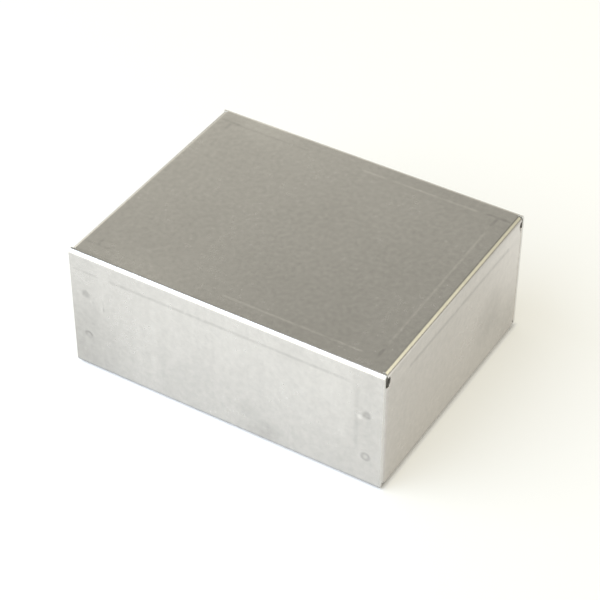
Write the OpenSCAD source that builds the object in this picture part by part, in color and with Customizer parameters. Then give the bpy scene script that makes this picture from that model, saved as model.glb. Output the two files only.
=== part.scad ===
// Undrilled electronics chassis, folded from one sheet of aluminium.
// A top panel, two side walls and two end walls stand on inward lips round an open bottom.
// Each end wall carries a tab at both ends: the tab lies inside the side wall and is spot welded to it.

/* [Box] */
// Length over the two end walls
box_length = 127; // [90:0.1:260]
// Width over the two side walls
box_width = 101.6; // [70:0.1:200]
// Height from the lips to the top panel
box_height = 51.8; // [42:0.1:100]

/* [Sheet and folds] */
// Thickness of the sheet
sheet = 1; // [0.7:0.05:1.6]
// Inside radius of every fold
fold_inside = 0.8; // [0.4:0.05:1.6]

/* [Bottom lips] */
// Width of a lip, from the outside of its wall
lip_width = 12.7; // [8:0.1:20]
// Gap between the mitred ends of two lips
mitre_gap = 0.6; // [0.2:0.05:1.5]

/* [Corner tabs] */
// Width of a tab, from the outside of its end wall
tab_width = 12.7; // [9:0.1:18]
// Clearance between a tab and the side wall that it is welded to
tab_gap = 0.1; // [0.05:0.01:0.3]
// Clearance between the lower end of a tab and the fold of the lip under it
tab_lift = 0.2; // [0.1:0.05:1]

/* [Side wall ends] */
// How far a side wall stops short of the outside of the end walls
setback = 0.2; // [0.1:0.05:1.2]

/* [Top corners] */
// Width of the slit between the two folds that meet at a top corner
slit = 0.25; // [0.1:0.05:0.5]
// Diameter of the round relief in the end wall under each top corner
relief_diameter = 5.4; // [4:0.1:7]
// Depth of the relief's centre below the top panel
relief_depth = 3.4; // [2.4:0.1:5]

/* [Spot welds] */
// Diameter of a weld and of the print that it leaves in the side wall
weld_diameter = 4.4; // [3:0.1:6]
// Depth of the print
weld_print = 0.1; // [0.05:0.01:0.2]
// Distance of each weld from the nearer end of its tab, before the shift
weld_end = 12.3; // [6:0.1:14]
// How far the welds at the left end are shifted up
weld_shift_left = 0.9; // [-2:0.1:2]
// How far the welds at the right end are shifted up, or down below zero
weld_shift_right = -1.4; // [-2:0.1:2]

/* [Hidden] */
$fn = 64;

aluminium = [0.78, 0.77, 0.74];

// Overshoot of a cut past the face that it starts from
over = 1;
fold_outside = fold_inside + sheet;

// A tab's outer face and the end of its fold, from the outside of the side wall
tab_face = sheet + tab_gap;
tab_fold_end = tab_face + fold_outside;
tab_bottom = fold_outside + tab_lift;
tab_top = box_height - relief_depth - relief_diameter / 2;
weld_heights = [tab_bottom + weld_end, tab_top - weld_end];
weld_shifts = [weld_shift_left, weld_shift_right];
// Radius of the electrode's tip, which leaves a print of the given diameter and depth
tip_radius = (pow(weld_diameter / 2, 2) + pow(weld_print, 2)) / (2 * weld_print);

// Rectangle with round corners, centred on the second axis and standing on the first
module round_rectangle(width, height, radius) {
    translate([-width / 2, radius]) square([width, height - 2 * radius]);
    translate([radius - width / 2, 0]) square([width - 2 * radius, height]);
    for (x = [radius - width / 2, width / 2 - radius])
        for (y = [radius, height - radius])
            translate([x, y]) circle(r = radius);
}

// Section through the sheet across one direction: lip, wall, top panel, wall, lip
module folded_section(width) {
    difference() {
        round_rectangle(width, box_height, fold_outside);
        translate([0, sheet]) round_rectangle(width - 2 * sheet, box_height - 2 * sheet, fold_inside);
        translate([lip_width - width / 2, -over]) square([width - 2 * lip_width, sheet + 2 * over]);
    }
}

// Places a corner feature at all four corners: x runs in along the side wall, y along the end wall
module at_corners() {
    for ($end = [0, 1])
        for (side = [0, 1])
            mirror([$end, 0, 0])
                mirror([0, side, 0])
                    translate([-box_length / 2, -box_width / 2, 0])
                        children();
}

// Prism through the lips and their folds, over an outline in the plane of the lips
module lip_cut(outline) {
    translate([0, 0, -over])
        linear_extrude(fold_outside + over)
            polygon(outline);
}

// Side walls with their top folds and lips, and the top panel
module side_shell() {
    difference() {
        rotate([90, 0, 90])
            linear_extrude(box_length, center = true)
                folded_section(box_width);
        at_corners() {
            // The top panel stops where the end wall's fold starts, which leaves an ear on each side fold
            translate([-over, fold_outside, box_height - fold_outside])
                cube([fold_outside + over, box_width / 2, fold_outside + over]);
            // The side wall stops behind the outside of the end wall
            translate([-over, -over, -over])
                cube([setback + over, fold_outside + over, box_height + 2 * over]);
            // Mitre from the foot of the corner
            lip_cut([[-over, -over], [lip_width + over, lip_width + over], [-over, lip_width + over]]);
        }
    }
}

// End walls with their top folds and lips, between the slits at the top corners
module end_shell() {
    mitre_shift = mitre_gap * sqrt(2);
    difference() {
        rotate([90, 0, 0])
            linear_extrude(box_width - 2 * (fold_outside + slit), center = true)
                folded_section(box_length);
        at_corners() {
            // Below the top fold the wall starts where the tab's fold ends
            translate([-over, 0, -over])
                cube([fold_outside + over, tab_fold_end, box_height - fold_outside + over]);
            corner_relief();
            // Mitre beside that of the side wall's lip
            lip_cut([
                [-over, -over],
                [lip_width + over, -over],
                [lip_width + over, lip_width + over + mitre_shift],
                [-over, mitre_shift - over]
            ]);
        }
    }
}

// Round relief that lets the top fold and the tab's fold meet without tearing the sheet
module corner_relief() {
    intersection() {
        translate([-over, tab_face, box_height - relief_depth])
            rotate([0, 90, 0])
                cylinder(d = relief_diameter, h = sheet + 2 * over);
        translate([-over, 0, 0])
            cube([sheet + 2 * over, box_width / 2, box_height - fold_outside]);
    }
}

// Tab folded round from the end wall to lie along the inside of the side wall
module corner_tab() {
    translate([0, 0, tab_bottom])
        linear_extrude(tab_top - tab_bottom) {
            translate([fold_outside, tab_fold_end])
                intersection() {
                    difference() {
                        circle(r = fold_outside);
                        circle(r = fold_inside);
                    }
                    translate([-fold_outside, -fold_outside]) square(fold_outside);
                }
            translate([fold_outside, tab_face]) square([tab_width - fold_outside, sheet]);
        }
}

// Places a weld feature at each weld of a corner, at the outside of the side wall
module at_welds() {
    for (height = weld_heights)
        translate([tab_width / 2, 0, height + weld_shifts[$end]])
            children();
}

// Metal that a spot weld fuses between the side wall and the tab
module weld_nugget() {
    translate([0, sheet / 2, 0])
        rotate([-90, 0, 0])
            cylinder(d = weld_diameter, h = tab_face);
}

// Round print that the electrode's tip leaves in the outside of the side wall
module weld_print_cut() {
    translate([0, weld_print - tip_radius, 0]) sphere(r = tip_radius);
}

// The whole folded and welded sheet
module chassis() {
    color(aluminium)
        difference() {
            union() {
                side_shell();
                end_shell();
                at_corners() {
                    corner_tab();
                    at_welds() weld_nugget();
                }
            }
            at_corners() at_welds() weld_print_cut();
        }
}

chassis();
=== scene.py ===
import math

import bmesh
import bpy
from mathutils import Matrix, Vector


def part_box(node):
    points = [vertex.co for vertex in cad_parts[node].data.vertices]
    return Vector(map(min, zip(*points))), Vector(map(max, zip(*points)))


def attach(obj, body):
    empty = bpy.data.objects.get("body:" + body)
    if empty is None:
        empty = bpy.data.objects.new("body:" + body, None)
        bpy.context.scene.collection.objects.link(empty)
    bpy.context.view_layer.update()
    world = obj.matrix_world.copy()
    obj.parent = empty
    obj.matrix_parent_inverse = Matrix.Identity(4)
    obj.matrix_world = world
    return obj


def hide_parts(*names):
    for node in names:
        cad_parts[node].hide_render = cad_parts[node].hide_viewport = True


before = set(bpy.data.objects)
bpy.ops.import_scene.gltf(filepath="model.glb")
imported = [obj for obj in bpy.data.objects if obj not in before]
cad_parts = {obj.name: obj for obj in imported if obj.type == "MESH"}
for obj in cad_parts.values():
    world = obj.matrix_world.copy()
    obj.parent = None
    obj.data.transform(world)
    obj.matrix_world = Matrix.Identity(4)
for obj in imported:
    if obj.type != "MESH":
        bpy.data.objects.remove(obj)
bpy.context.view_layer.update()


# Folded sheet
# The whole chassis is one sheet of mill-finish aluminium, sheared and notched flat. The lips are
# folded first, then the tabs and the walls, and the end walls' tabs are spot welded inside the side
# walls. The outer skin is folded up here from the top panel, and then gets the sheet's thickness.
mm = 0.001
low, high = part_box("chassis")
length, width, height = high - low
sheet_thickness = 1.0 * mm
fold_radius = 1.8 * mm
fold_segments = 8
lip_width = 12.7 * mm
tab_width = 12.7 * mm
tab_gap = 0.1 * mm
tab_lift = 0.2 * mm
tab_face = sheet_thickness + tab_gap
relief_radius = 2.7 * mm
relief_depth = 3.4 * mm
setback = 0.2 * mm
slit = 0.25 * mm
mitre_shift = 0.85 * mm
# A fold leaves this much flat sheet before the next edge
land = 0.15 * mm
fold_end = fold_radius + land
tab_fold_end = tab_face + fold_end
tab_bottom = fold_radius + tab_lift
tab_top = height - relief_depth - relief_radius
end_half = width / 2 - fold_end - slit


def near(a, b):
    return abs(a - b) < 0.01 * mm


def select_where(kind, test):
    """Selects the vertices, edges or faces of the mesh in edit mode whose middle passes a test."""
    bpy.ops.mesh.select_mode(type=kind)
    bpy.ops.mesh.select_all(action="DESELECT")
    mesh = bpy.context.object.data
    shape = bmesh.from_edit_mesh(mesh)
    for item in {"VERT": shape.verts, "EDGE": shape.edges, "FACE": shape.faces}[kind]:
        corners = [item.co] if kind == "VERT" else [corner.co for corner in item.verts]
        item.select_set(bool(test(sum(corners, Vector()) / len(corners))))
    shape.select_flush_mode()
    bmesh.update_edit_mesh(mesh)


def extrude(move):
    bpy.ops.mesh.extrude_region_move(TRANSFORM_OT_translate={"value": move})


def cut_faces(test, point, facing):
    """Cuts the faces that pass a test along a plane."""
    select_where("FACE", test)
    bpy.ops.mesh.bisect(plane_co=point, plane_no=facing)


def on_top(p):
    return near(p.z, height)


def on_end(p):
    return near(abs(p.x), length / 2)


bpy.ops.object.select_all(action="DESELECT")
bpy.ops.mesh.primitive_plane_add(size=1, location=(0, 0, height))
chassis_sheet = bpy.context.object
chassis_sheet.name = "chassis_sheet"
chassis_sheet.scale = (length, width, 1)
bpy.ops.object.transform_apply(location=True, rotation=True, scale=True)
bpy.ops.object.mode_set(mode="EDIT")

# Side walls and their lips, which stop behind the outside of the end walls, with mitred lips
select_where("EDGE", lambda p: near(abs(p.y), width / 2))
extrude((0, 0, -height))
for side in (-1, 1):
    select_where("EDGE", lambda p: near(p.y, side * width / 2) and near(p.z, 0))
    extrude((0, -side * fold_end, 0))
    extrude((0, -side * (lip_width - fold_end), 0))
for end in (-1, 1):
    for inset, shift in ((0, setback), (fold_end, fold_end), (lip_width, lip_width)):
        select_where("VERT", lambda p: near(p.x, end * length / 2) and near(p.z, 0)
                     and near(abs(p.y), width / 2 - inset))
        bpy.ops.transform.translate(value=(-end * shift, 0, 0))

# Slits in the top panel, which leave an ear at both ends of each side fold
for sign in (-1, 1):
    cut_faces(on_top, (sign * (length / 2 - fold_end), 0, height), (1, 0, 0))
    cut_faces(on_top, (0, sign * (width / 2 - fold_end), height), (0, 1, 0))
    cut_faces(on_top, (0, sign * end_half, height), (0, 1, 0))
select_where("FACE", lambda p: on_top(p) and abs(p.x) > length / 2 - fold_end
             and end_half < abs(p.y) < width / 2 - fold_end)
bpy.ops.mesh.delete(type="FACE")
for end in (-1, 1):
    select_where("VERT", lambda p: near(p.x, end * length / 2) and on_top(p)
                 and abs(p.y) > end_half + land)
    bpy.ops.transform.translate(value=(-end * setback, 0, 0))

# End walls between the slits, cleared above and below the tabs
select_where("EDGE", lambda p: on_end(p) and on_top(p) and abs(p.y) < end_half)
extrude((0, 0, -height))
for cut_height in (height - fold_end, tab_top, tab_bottom):
    cut_faces(on_end, (0, 0, cut_height), (0, 0, 1))
for side in (-1, 1):
    cut_faces(on_end, (0, side * (width / 2 - tab_fold_end), 0), (0, 1, 0))
select_where("FACE", lambda p: on_end(p) and abs(p.y) > width / 2 - tab_fold_end
             and (p.z < tab_bottom or tab_top < p.z < height - fold_end))
bpy.ops.mesh.delete(type="FACE")

# Tabs: the wall's edge goes out to the tab's face, and the tab turns in from there
for side in (-1, 1):
    select_where("VERT", lambda p: on_end(p) and near(p.y, side * end_half)
                 and tab_bottom - land < p.z < tab_top + land)
    bpy.ops.transform.translate(value=(0, side * (width / 2 - tab_face - end_half), 0))
for end in (-1, 1):
    select_where("EDGE", lambda p: near(p.x, end * length / 2)
                 and near(abs(p.y), width / 2 - tab_face))
    extrude((-end * tab_width, 0, 0))

# End lips, mitred beside the side lips
for end in (-1, 1):
    select_where("EDGE", lambda p: near(p.x, end * length / 2) and near(p.z, 0))
    extrude((-end * lip_width, 0, 0))
for side in (-1, 1):
    select_where("VERT", lambda p: near(p.z, 0) and near(p.y, side * (width / 2 - tab_fold_end))
                 and near(abs(p.x), length / 2 - lip_width))
    bpy.ops.transform.translate(value=(0, side * (tab_fold_end - lip_width - mitre_shift), 0))


def on_fold(p):
    side_fold = near(abs(p.y), width / 2) and (on_top(p) or near(p.z, 0))
    end_fold = on_end(p) and (on_top(p) and abs(p.y) < end_half or near(p.z, 0))
    tab_fold = on_end(p) and near(abs(p.y), width / 2 - tab_face)
    return side_fold or end_fold or tab_fold


select_where("EDGE", on_fold)
bpy.ops.mesh.bevel(offset=fold_radius, offset_type="OFFSET", segments=fold_segments,
                   profile=0.5, affect="EDGES", clamp_overlap=False)
bpy.ops.mesh.select_all(action="SELECT")
bpy.ops.mesh.normals_make_consistent(inside=False)
bpy.ops.object.mode_set(mode="OBJECT")


def finish_with(piece, kind, **settings):
    """Adds a modifier to a piece and applies it."""
    bpy.context.view_layer.objects.active = piece
    modifier = piece.modifiers.new(kind, kind)
    for name, value in settings.items():
        setattr(modifier, name, value)
    bpy.ops.object.modifier_apply(modifier=modifier.name)


for name in ("mill_finish", "sheared_edge"):
    material = bpy.data.materials.new(name)
    material.use_nodes = True
    chassis_sheet.data.materials.append(material)
finish_with(chassis_sheet, "SOLIDIFY", thickness=sheet_thickness, offset=-1,
            use_even_offset=True, material_offset_rim=1)
# The sheared edges are eased a little, so that they don't cut the hand
finish_with(chassis_sheet, "BEVEL", width=0.1 * mm, segments=2, limit_method="ANGLE",
            angle_limit=math.radians(35), use_clamp_overlap=False)

# Corner reliefs and weld prints are cut by one set of cutters, each built at its corner
weld_radius = 2.2 * mm
weld_print = 0.1 * mm
weld_end = 12.3 * mm
weld_heights = (tab_bottom + weld_end, tab_top - weld_end)
weld_shifts = {-1: 0.9 * mm, 1: -1.4 * mm}
# The electrode's tip is a flat ellipsoid that goes in as deep as the print
tip_radius = 3.1 * mm
tip_share = math.sqrt(1 - (weld_radius / tip_radius) ** 2)
tip_depth = weld_print / (1 - tip_share)
cutter_depth = 2.0 * mm
# A relief stops just under the end of the top fold, and just outside the tab's face
relief_ceiling = height - fold_end + 0.4 * land
relief_side = width / 2 - tab_face + 0.05 * mm
cutters = []
for end in (-1, 1):
    for side in (-1, 1):
        bpy.ops.mesh.primitive_cylinder_add(
            vertices=64, radius=relief_radius, depth=2 * cutter_depth,
            rotation=(0, math.radians(90), 0),
            location=(end * length / 2, side * (width / 2 - tab_face), height - relief_depth))
        bpy.ops.object.transform_apply(location=True, rotation=True, scale=True)
        bpy.ops.object.mode_set(mode="EDIT")
        for point, facing in (((0, 0, relief_ceiling), (0, 0, 1)),
                              ((0, side * relief_side, 0), (0, side, 0))):
            bpy.ops.mesh.select_all(action="SELECT")
            bpy.ops.mesh.bisect(plane_co=point, plane_no=facing, use_fill=True, clear_outer=True)
        bpy.ops.object.mode_set(mode="OBJECT")
        cutters.append(bpy.context.object)
        for slot in chassis_sheet.data.materials:
            cutters[-1].data.materials.append(slot)
        for face in cutters[-1].data.polygons:
            face.material_index = 1
        for weld_height in weld_heights:
            bpy.ops.mesh.primitive_uv_sphere_add(
                segments=48, ring_count=48, radius=1, scale=(tip_radius, tip_radius, tip_depth),
                rotation=(math.radians(90), 0, 0),
                location=(end * (length / 2 - tab_width / 2),
                          side * (width / 2 + tip_depth * tip_share),
                          weld_height + weld_shifts[end]))
            bpy.ops.object.transform_apply(location=True, rotation=True, scale=True)
            cutters.append(bpy.context.object)
bpy.ops.object.select_all(action="DESELECT")
for cutter in cutters:
    cutter.select_set(True)
bpy.context.view_layer.objects.active = cutters[0]
bpy.ops.object.join()
all_cutters = bpy.context.object
finish_with(chassis_sheet, "BOOLEAN", operation="DIFFERENCE", solver="EXACT", object=all_cutters)
bpy.data.objects.remove(all_cutters)

bpy.ops.object.select_all(action="DESELECT")
chassis_sheet.select_set(True)
bpy.context.view_layer.objects.active = chassis_sheet
bpy.ops.object.shade_smooth_by_angle(angle=math.radians(20))
finish_with(chassis_sheet, "WEIGHTED_NORMAL", weight=50, keep_sharp=True)


class Value:
    """One output socket of a shader. Arithmetic on it adds the Math nodes that work the result out."""

    def __init__(self, tree, socket=None):
        self.tree = tree
        self.socket = socket

    def node(self, kind, settings, inputs, output=0):
        """Adds a node, with its settings set first, and gives one of its outputs."""
        made = self.tree.nodes.new(kind)
        for name, setting in settings.items():
            setattr(made, name, setting)
        for name, value in inputs.items():
            if isinstance(value, Value):
                self.tree.links.new(value.socket, made.inputs[name])
            else:
                made.inputs[name].default_value = value
        return Value(self.tree, made.outputs[output])

    def place_in_mm(self):
        """The place on the piece, in millimetres in the part's own frame."""
        place_in_metres = self.node("ShaderNodeTexCoord", {}, {}, "Object")
        return place_in_metres.scaled((1000, 1000, 1000))

    def math(self, operation, first, second=0.0):
        return self.node("ShaderNodeMath", {"operation": operation}, {0: first, 1: second})

    def __add__(self, other):
        return self.math("ADD", self, other)

    def __radd__(self, other):
        return self.math("ADD", other, self)

    def __sub__(self, other):
        return self.math("SUBTRACT", self, other)

    def __rsub__(self, other):
        return self.math("SUBTRACT", other, self)

    def __mul__(self, other):
        return self.math("MULTIPLY", self, other)

    def __rmul__(self, other):
        return self.math("MULTIPLY", other, self)

    def __abs__(self):
        return self.math("ABSOLUTE", self)

    def __gt__(self, other):
        return self.math("GREATER_THAN", self, other)

    def parts(self):
        """The three components of a vector."""
        return [self.node("ShaderNodeSeparateXYZ", {}, {0: self}, output) for output in range(3)]

    def scaled(self, vector):
        """A vector multiplied by another one, component by component."""
        return self.node("ShaderNodeVectorMath", {"operation": "MULTIPLY"}, {0: self, 1: vector})

    def ramp(self, start, end):
        """A smooth step from 0 at one value to 1 at another."""
        return self.node("ShaderNodeMapRange", {"interpolation_type": "SMOOTHSTEP"},
                         {"Value": self, "From Min": start, "From Max": end})

    def band(self, centre, half, soft):
        """1 within a half width of a centre, with soft edges."""
        return 1 - abs(self - centre).ramp(half - soft, half + soft)

    def spot(self, centre, radius):
        """1 at a point and 0 beyond a radius round it."""
        away = self.node("ShaderNodeVectorMath", {"operation": "DISTANCE"},
                         {0: self, 1: centre}, "Value")
        return 1 - away.ramp(0, radius)

    def noise(self, scale, detail=2.0, roughness=0.5):
        """Clouded noise from -1 to 1 about zero, over a position."""
        grain = self.node("ShaderNodeTexNoise", {}, {"Vector": self, "Scale": scale,
                                                     "Detail": detail, "Roughness": roughness})
        return grain * 2 - 1


# Mill finish: dull rolled metal with a fine grain, worn a little by handling, with light and shade
# painted onto it in places. Every mark on it is placed in millimetres.
mill = Value(chassis_sheet.data.materials[0].node_tree)
place = mill.place_in_mm()
x, y, z = place.parts()
facing_x, facing_y, facing_z = mill.node("ShaderNodeTexCoord", {}, {}, "Normal").parts()
on_outside = (facing_x * x + facing_y * y + facing_z * (z - height / mm / 2)) > 0
on_panel = (facing_z > 0.8) * on_outside
on_side_wall = (abs(facing_y) > 0.8) * on_outside
on_front = ((0 - facing_y) > 0.8) * on_outside
on_end_wall = (abs(facing_x) > 0.8) * on_outside
cloud = place.noise(0.035, 3.0)
speckle = place.noise(0.5, 3.0, 0.6)
fine = place.noise(4.0, 2.0)
streaks = place.scaled((1, 1, 0.06)).noise(0.22, 2.0)
bright = 0.98 + 0.05 * cloud + 0.125 * speckle + 0.01 * fine + 0.05 * streaks * on_side_wall
# Painted light and shade: the side walls are painted lighter and the end walls darker, for the light
# each gets
bright = bright + 0.07 * on_side_wall - 0.065 * on_end_wall
# Painted light: the inside of the box is painted lighter, for light that gets in and scatters there
bright = bright + 0.32 * (1 - on_outside)
# Painted highlight: the top folds of the end walls are painted brighter towards the front and darker
# towards the back
on_end_fold = (facing_z * abs(facing_x)).ramp(0.05, 0.25) * on_outside
bright = bright + on_end_fold * (0.13 * (1 - y.ramp(-50, -42)) - 0.0036 * y)
# Painted light: the fold of the tab at the back right corner is painted brighter, over the shade in
# the groove beside it
on_tab_fold = (x > 61) * (y > 46) * (1 - (y > 50)) * (1 - (z > 46)) * on_outside
bright = bright + 0.45 * on_tab_fold * facing_y.ramp(0.15, 0.7)

# The die that folds the walls leaves a line on both sides of each fold, worn through in places
worn = place.noise(0.3, 2.0).ramp(-0.45, 0.0)
top, front, right = height / mm, -width / mm / 2, length / mm / 2
at_right = x > 0


def stroke(across, centre, along, start, end, half):
    """1 along a straight mark, and 0 away from it."""
    middle = (start + end) / 2
    return across.band(centre, half, 0.8 * half) * along.band(middle, (end - start) / 2, 0.8)


light_lines = (
    1.3 * stroke(y, -43.3, x, -4, 51, 0.5)
    + stroke(x, 56.2, y, -34.5, 33.7, 0.5)
    + stroke(y, 43.3, x, 1, 48, 0.5)
)
dark_lines = (
    0.6 * stroke(y, 43.3, x, -54, -22, 0.45)
    + 0.5 * stroke(x, -55.4, y, 27, 32, 0.4)
    + 0.8 * stroke(y, -48.4, x, -62, -46, 0.5)
)
panel_lines = (light_lines - dark_lines) * (0.35 + 0.65 * worn)
# The ends of the die cross at the corners of the panel, and leave dark patchy marks there
die_ends = (
    stroke(y, 43.7, abs(x), 52, 61, 0.55)
    + stroke(y, -43.1, x, -60.5, -50.5, 0.5)
    + stroke(abs(x), 56.2, abs(y), 38.5, 42.8, 0.55)
)
patchy = 0.4 + 0.6 * place.noise(0.7).ramp(-0.4, 0.2)
die_ends = die_ends * (0.11 + 0.06 * at_right) * patchy
# Painted light and shade: the panel is painted lighter on the left and darker at the back on the right
panel_painted_shading = (
    0.1 * place.spot((-30, -54, top), 32)
    + 0.1 * place.spot((-42, 50, top), 20)
    - 0.05 * place.spot((24, 54, top), 30)
)
panel_marks = panel_painted_shading + 0.12 * panel_lines - die_ends - 0.04 * place.spot((-56, 43.6, top), 6)
bright = bright + on_panel * panel_marks
side_lines = 1.2 * stroke(z, 44.4, x, -46.6, 50.5, 0.6) + stroke(z, 44.4, x, -62, -51.5, 0.5)
end_lines = 1.35 * stroke(z, 43.8, y, -33.5, 39, 0.8) - 0.3 * z.band(46.2, 2.0, 0.8)
wall_lines = on_side_wall * side_lines + on_end_wall * end_lines
bright = bright - 0.11 * (0.4 + 0.6 * worn) * wall_lines

# Painted shade: the side walls are painted lighter towards the top and darker towards the foot. They
# are also darker where a tab lies behind them
over_tab = abs(x).ramp(49.5, 54) * z.ramp(10, 28)
bright = bright + on_side_wall * (0.17 * (z.ramp(-2, 44) - 0.52) - 0.07 * over_tab)
# Painted shade: the foot of each side wall is painted dark, where its fold reflects the shadowed floor
# under it
bright = bright - 0.45 * (abs(facing_y) > 0.4) * on_outside * (1 - z.ramp(0.7, 2.1))

# The upper weld prints are grey all over, and the lower ones round the rim
weld_row = abs(x) - (length - tab_width) / mm / 2
weld_lift = weld_shifts[-1] / mm + (weld_shifts[1] - weld_shifts[-1]) / mm * at_right
weld_rises = [z - weld_lift - weld_height / mm for weld_height in weld_heights]
weld_away = [mill.math("SQRT", weld_row * weld_row + rise * rise) for rise in weld_rises]
weld_away = mill.math("MINIMUM", *weld_away)
upper = z > 24
weld_disc = (1 - weld_away.ramp(0.9, 2.3)) * (0.85 + 0.5 * place.noise(0.6))
weld_rim = weld_away.band(1.4, 0.5, 0.5) * (weld_rises[0] + 2 * at_right).ramp(-1.2, 1.0)
upper_mark = upper * weld_disc * (0.2 + 0.1 * at_right)
lower_mark = (1 - upper) * (0.2 * weld_rim + 0.05 * weld_disc)
bright = bright - on_side_wall * (upper_mark + lower_mark)

# Marks on the front wall and the right end wall, and painted light and shade on both
front_marks_and_shade = (
    0.1 * stroke(x, -49.8, z, 29, 34, 0.22)
    + 0.12 * stroke(x, -49.6, z, 29, 31, 0.35)
    + 0.05 * stroke(x, 53.3, z, 17, 44, 0.7)
    + 0.12 * place.spot((-54.2, front, 31.6), 0.9)
    # Painted shade: the lower left corner of the front wall is painted darker
    + 0.14 * place.spot((-63.4, front, 5), 34)
    + 0.05 * x.band(-43, 11, 9) * z.ramp(8, 24)
    + 0.06 * place.spot((9.3, front, 12), 6)
    + 0.06 * place.spot((19.4, front, 6.5), 6)
    + 0.08 * place.spot((14.5, front, 3.5), 12)
)
front_rubs_and_glint = (
    0.05 * stroke(x, 48.1, z, 17, 25, 1.2)
    + 0.08 * place.spot((-55.1, front, 31.7), 1.4)
    # Painted highlight: the rim of the upper right weld print catching light
    + 0.25 * place.spot((54.4, front, 30.2), 1.7)
    + 0.02 * stroke(x, -35, z, 6, 40, 1.4)
    + 0.02 * stroke(x, -28.7, z, 6, 40, 1.2)
)
bright = bright + on_front * (front_rubs_and_glint - front_marks_and_shade)
# Painted shade: the right end wall is painted darker low down towards the back, in patches
end_wall_painted_shade = 0.14 * place.spot((right, 27, 21), 16) + 0.1 * place.spot((right, 44, 8), 18)
end_wall_painted_shade = end_wall_painted_shade * (1 + place.noise(0.11))
# Painted light: the right end wall is painted lighter high up towards the back
end_wall_painted_light = 0.16 * place.spot((right, 52, 42), 40)
bright = bright + on_end_wall * (end_wall_painted_light - end_wall_painted_shade)

# Painted reflection: the end walls are tinted a touch browner, for the warm light they reflect
metal = mill.node("ShaderNodeMix", {"data_type": "VECTOR"},
                  {0: on_end_wall, 4: (0.625, 0.615, 0.605), 5: (0.628, 0.603, 0.586)}, 1)
tint = mill.node("ShaderNodeVectorMath", {"operation": "SCALE"}, {0: metal, "Scale": bright})
rough = 0.26 + 0.02 * cloud + 0.03 * speckle
relief = 0.5 * speckle + 0.1 * fine
bumps = mill.node("ShaderNodeBump", {},
                  {"Strength": 0.06, "Distance": 0.02 * mm, "Height": relief}, "Normal")
shader = mill.tree.nodes["Principled BSDF"]
shader.inputs["Metallic"].default_value = 1
for name, value in (("Base Color", tint), ("Roughness", rough), ("Normal", bumps)):
    mill.tree.links.new(value.socket, shader.inputs[name])

# Sheared edge: bright where the blade cut, dull and torn where the sheet broke off
edge = Value(chassis_sheet.data.materials[1].node_tree)
edge_place = edge.place_in_mm()
torn = edge_place.noise(2.2, 3.0, 0.6)
shine = 1 + 0.2 * torn + 0.06 * edge_place.noise(9.0)
edge_tint = edge.node("ShaderNodeVectorMath", {"operation": "SCALE"},
                      {0: (0.74, 0.74, 0.73), "Scale": shine})
edge_rough = 0.36 + 0.1 * torn
edge_bumps = edge.node("ShaderNodeBump", {},
                       {"Strength": 0.2, "Distance": 0.03 * mm, "Height": torn}, "Normal")
shader = edge.tree.nodes["Principled BSDF"]
shader.inputs["Metallic"].default_value = 1
for name, value in (("Base Color", edge_tint), ("Roughness", edge_rough), ("Normal", edge_bumps)):
    edge.tree.links.new(value.socket, shader.inputs[name])

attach(chassis_sheet, "root")
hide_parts("chassis")


# Floor
# A plain white sheet of paper that the chassis stands on, larger than any view of it. It glows a
# little to the eye and in reflections. The glow is less near the chassis and under it, which paints a
# shadow round its foot and shade inside it.
bpy.ops.object.select_all(action="DESELECT")
bpy.ops.mesh.primitive_plane_add(size=8, location=(0, 0, -0.02 * mm))
floor = bpy.context.object
floor.name = "floor"
paper = bpy.data.materials.new("white_paper")
paper.use_nodes = True
floor.data.materials.append(paper)
white = Value(paper.node_tree)
shader = white.tree.nodes["Principled BSDF"]
shader.inputs["Base Color"].default_value = (0.925, 0.925, 0.97, 1)
shader.inputs["Roughness"].default_value = 0.9
shader.inputs["Specular IOR Level"].default_value = 0
glow = white.node("ShaderNodeEmission", {}, {"Color": (0.99, 0.96, 0.83, 1), "Strength": 1.0})
seen = white.node("ShaderNodeLightPath", {}, {}, "Is Camera Ray")
seen = seen.math("MAXIMUM", seen, white.node("ShaderNodeLightPath", {}, {}, "Is Glossy Ray"))
seen = seen.math("MAXIMUM", seen, white.node("ShaderNodeLightPath", {}, {}, "Is Transmission Ray"))
across, along = white.place_in_mm().parts()[:2]
beyond = white.math("MAXIMUM", abs(across) - length / mm / 2, abs(along) - width / mm / 2)
lit_paper = Value(white.tree, shader.outputs["BSDF"])
# Painted shadow: the glow falls from full at 1.6 mm outside the chassis to a fifth at 0.6 mm inside it
share = 0.6 * seen * (0.2 + 0.8 * beyond.ramp(-0.6, 1.6))
mixed = white.node("ShaderNodeMixShader", {}, {"Fac": share, 1: lit_paper, 2: glow})
white.tree.links.new(mixed.socket, white.tree.nodes["Material Output"].inputs["Surface"])


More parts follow.
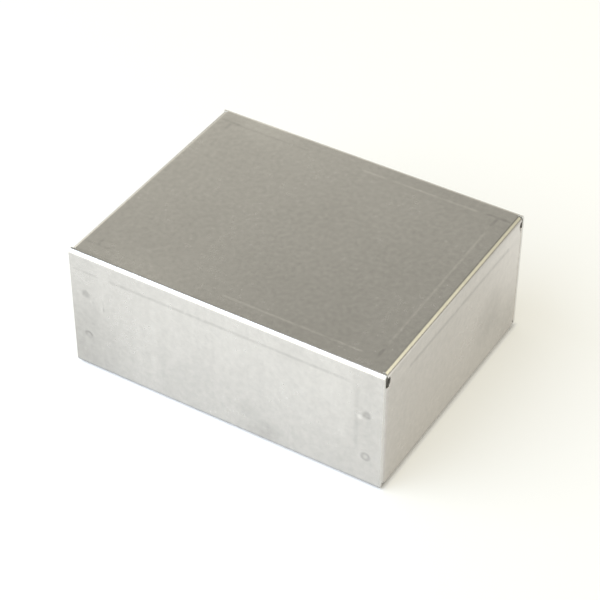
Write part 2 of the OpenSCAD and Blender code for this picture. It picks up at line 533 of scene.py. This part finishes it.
# Light
# A warm dim room that is brighter low down on the left, with three soft lamps: a large cool one in
# front on the left, a weak one overhead, and a weak warm one behind on the right.
world = bpy.data.worlds.new("room")
bpy.context.scene.world = world
world.use_nodes = True
room = Value(world.node_tree)
direction = room.node("ShaderNodeTexCoord", {}, {}, "Object")
to_right = room.node("ShaderNodeVectorMath", {"operation": "DOT_PRODUCT"},
                     {0: direction, 1: (0.854, 0.52, 0)}, "Value")
back, up = direction.parts()[1:]
left_side = 1 - to_right.ramp(0, 0.6)
glow = 0.487 + 3.8 * (0.63 - up) * left_side - 0.36 * to_right.ramp(-0.4, 0.9)
glow = glow.math("MAXIMUM", glow, 0.22 + 0.16 * left_side)
glow = glow.math("MINIMUM", glow, 1.7)
# A grey wall stands behind the chassis
behind = back.ramp(0.2, 0.6) * (1 - up.ramp(0.1, 0.34))
glow = glow - behind * (glow - 0.5)
background = world.node_tree.nodes["Background"]
background.inputs["Color"].default_value = (1.0, 0.965, 0.84, 1)
room.tree.links.new(glow.socket, background.inputs["Strength"])


def soft_lamp(name, stand, size, watts, colour):
    """Adds a round lamp that shines at the middle of the floor."""
    bpy.ops.object.light_add(type="AREA", location=stand)
    lamp = bpy.context.object
    lamp.name = name
    lamp.data.shape = "DISK"
    lamp.data.size = size
    lamp.data.energy = watts
    lamp.data.color = colour
    lamp.rotation_euler = (-Vector(stand)).to_track_quat("-Z", "Y").to_euler()


soft_lamp("window", (-0.47, -0.6, 0.76), 1.25, 15.6, (0.775, 0.885, 1.0))
soft_lamp("ceiling", (0.0, 0.0, 1.1), 0.8, 1.5, (0.95, 0.97, 1.0))
soft_lamp("fill", (0.53, 0.7, 0.66), 0.9, 2.0, (1.0, 0.94, 0.67))


# Camera
# Stands in front of the box on its right and looks down on it, as the photograph does. The lens is
# a long one, which keeps the walls close to upright.
camera_place = Vector((284.362, -469.895, 484.214)) * mm
camera_aim = Vector((3.83, -5.5, 25.9)) * mm
camera_roll = math.radians(0.282)
bpy.ops.object.camera_add(location=camera_place)
camera = bpy.context.object
camera.data.sensor_width = 36
camera.data.lens = 118.909
looking = (camera_aim - camera_place).to_track_quat("-Z", "Y").to_matrix()
camera.rotation_euler = (looking @ Matrix.Rotation(camera_roll, 3, "Z")).to_euler()
camera.data.clip_end = 50
bpy.context.scene.camera = camera
bpy.context.scene.view_settings.view_transform = "Standard"
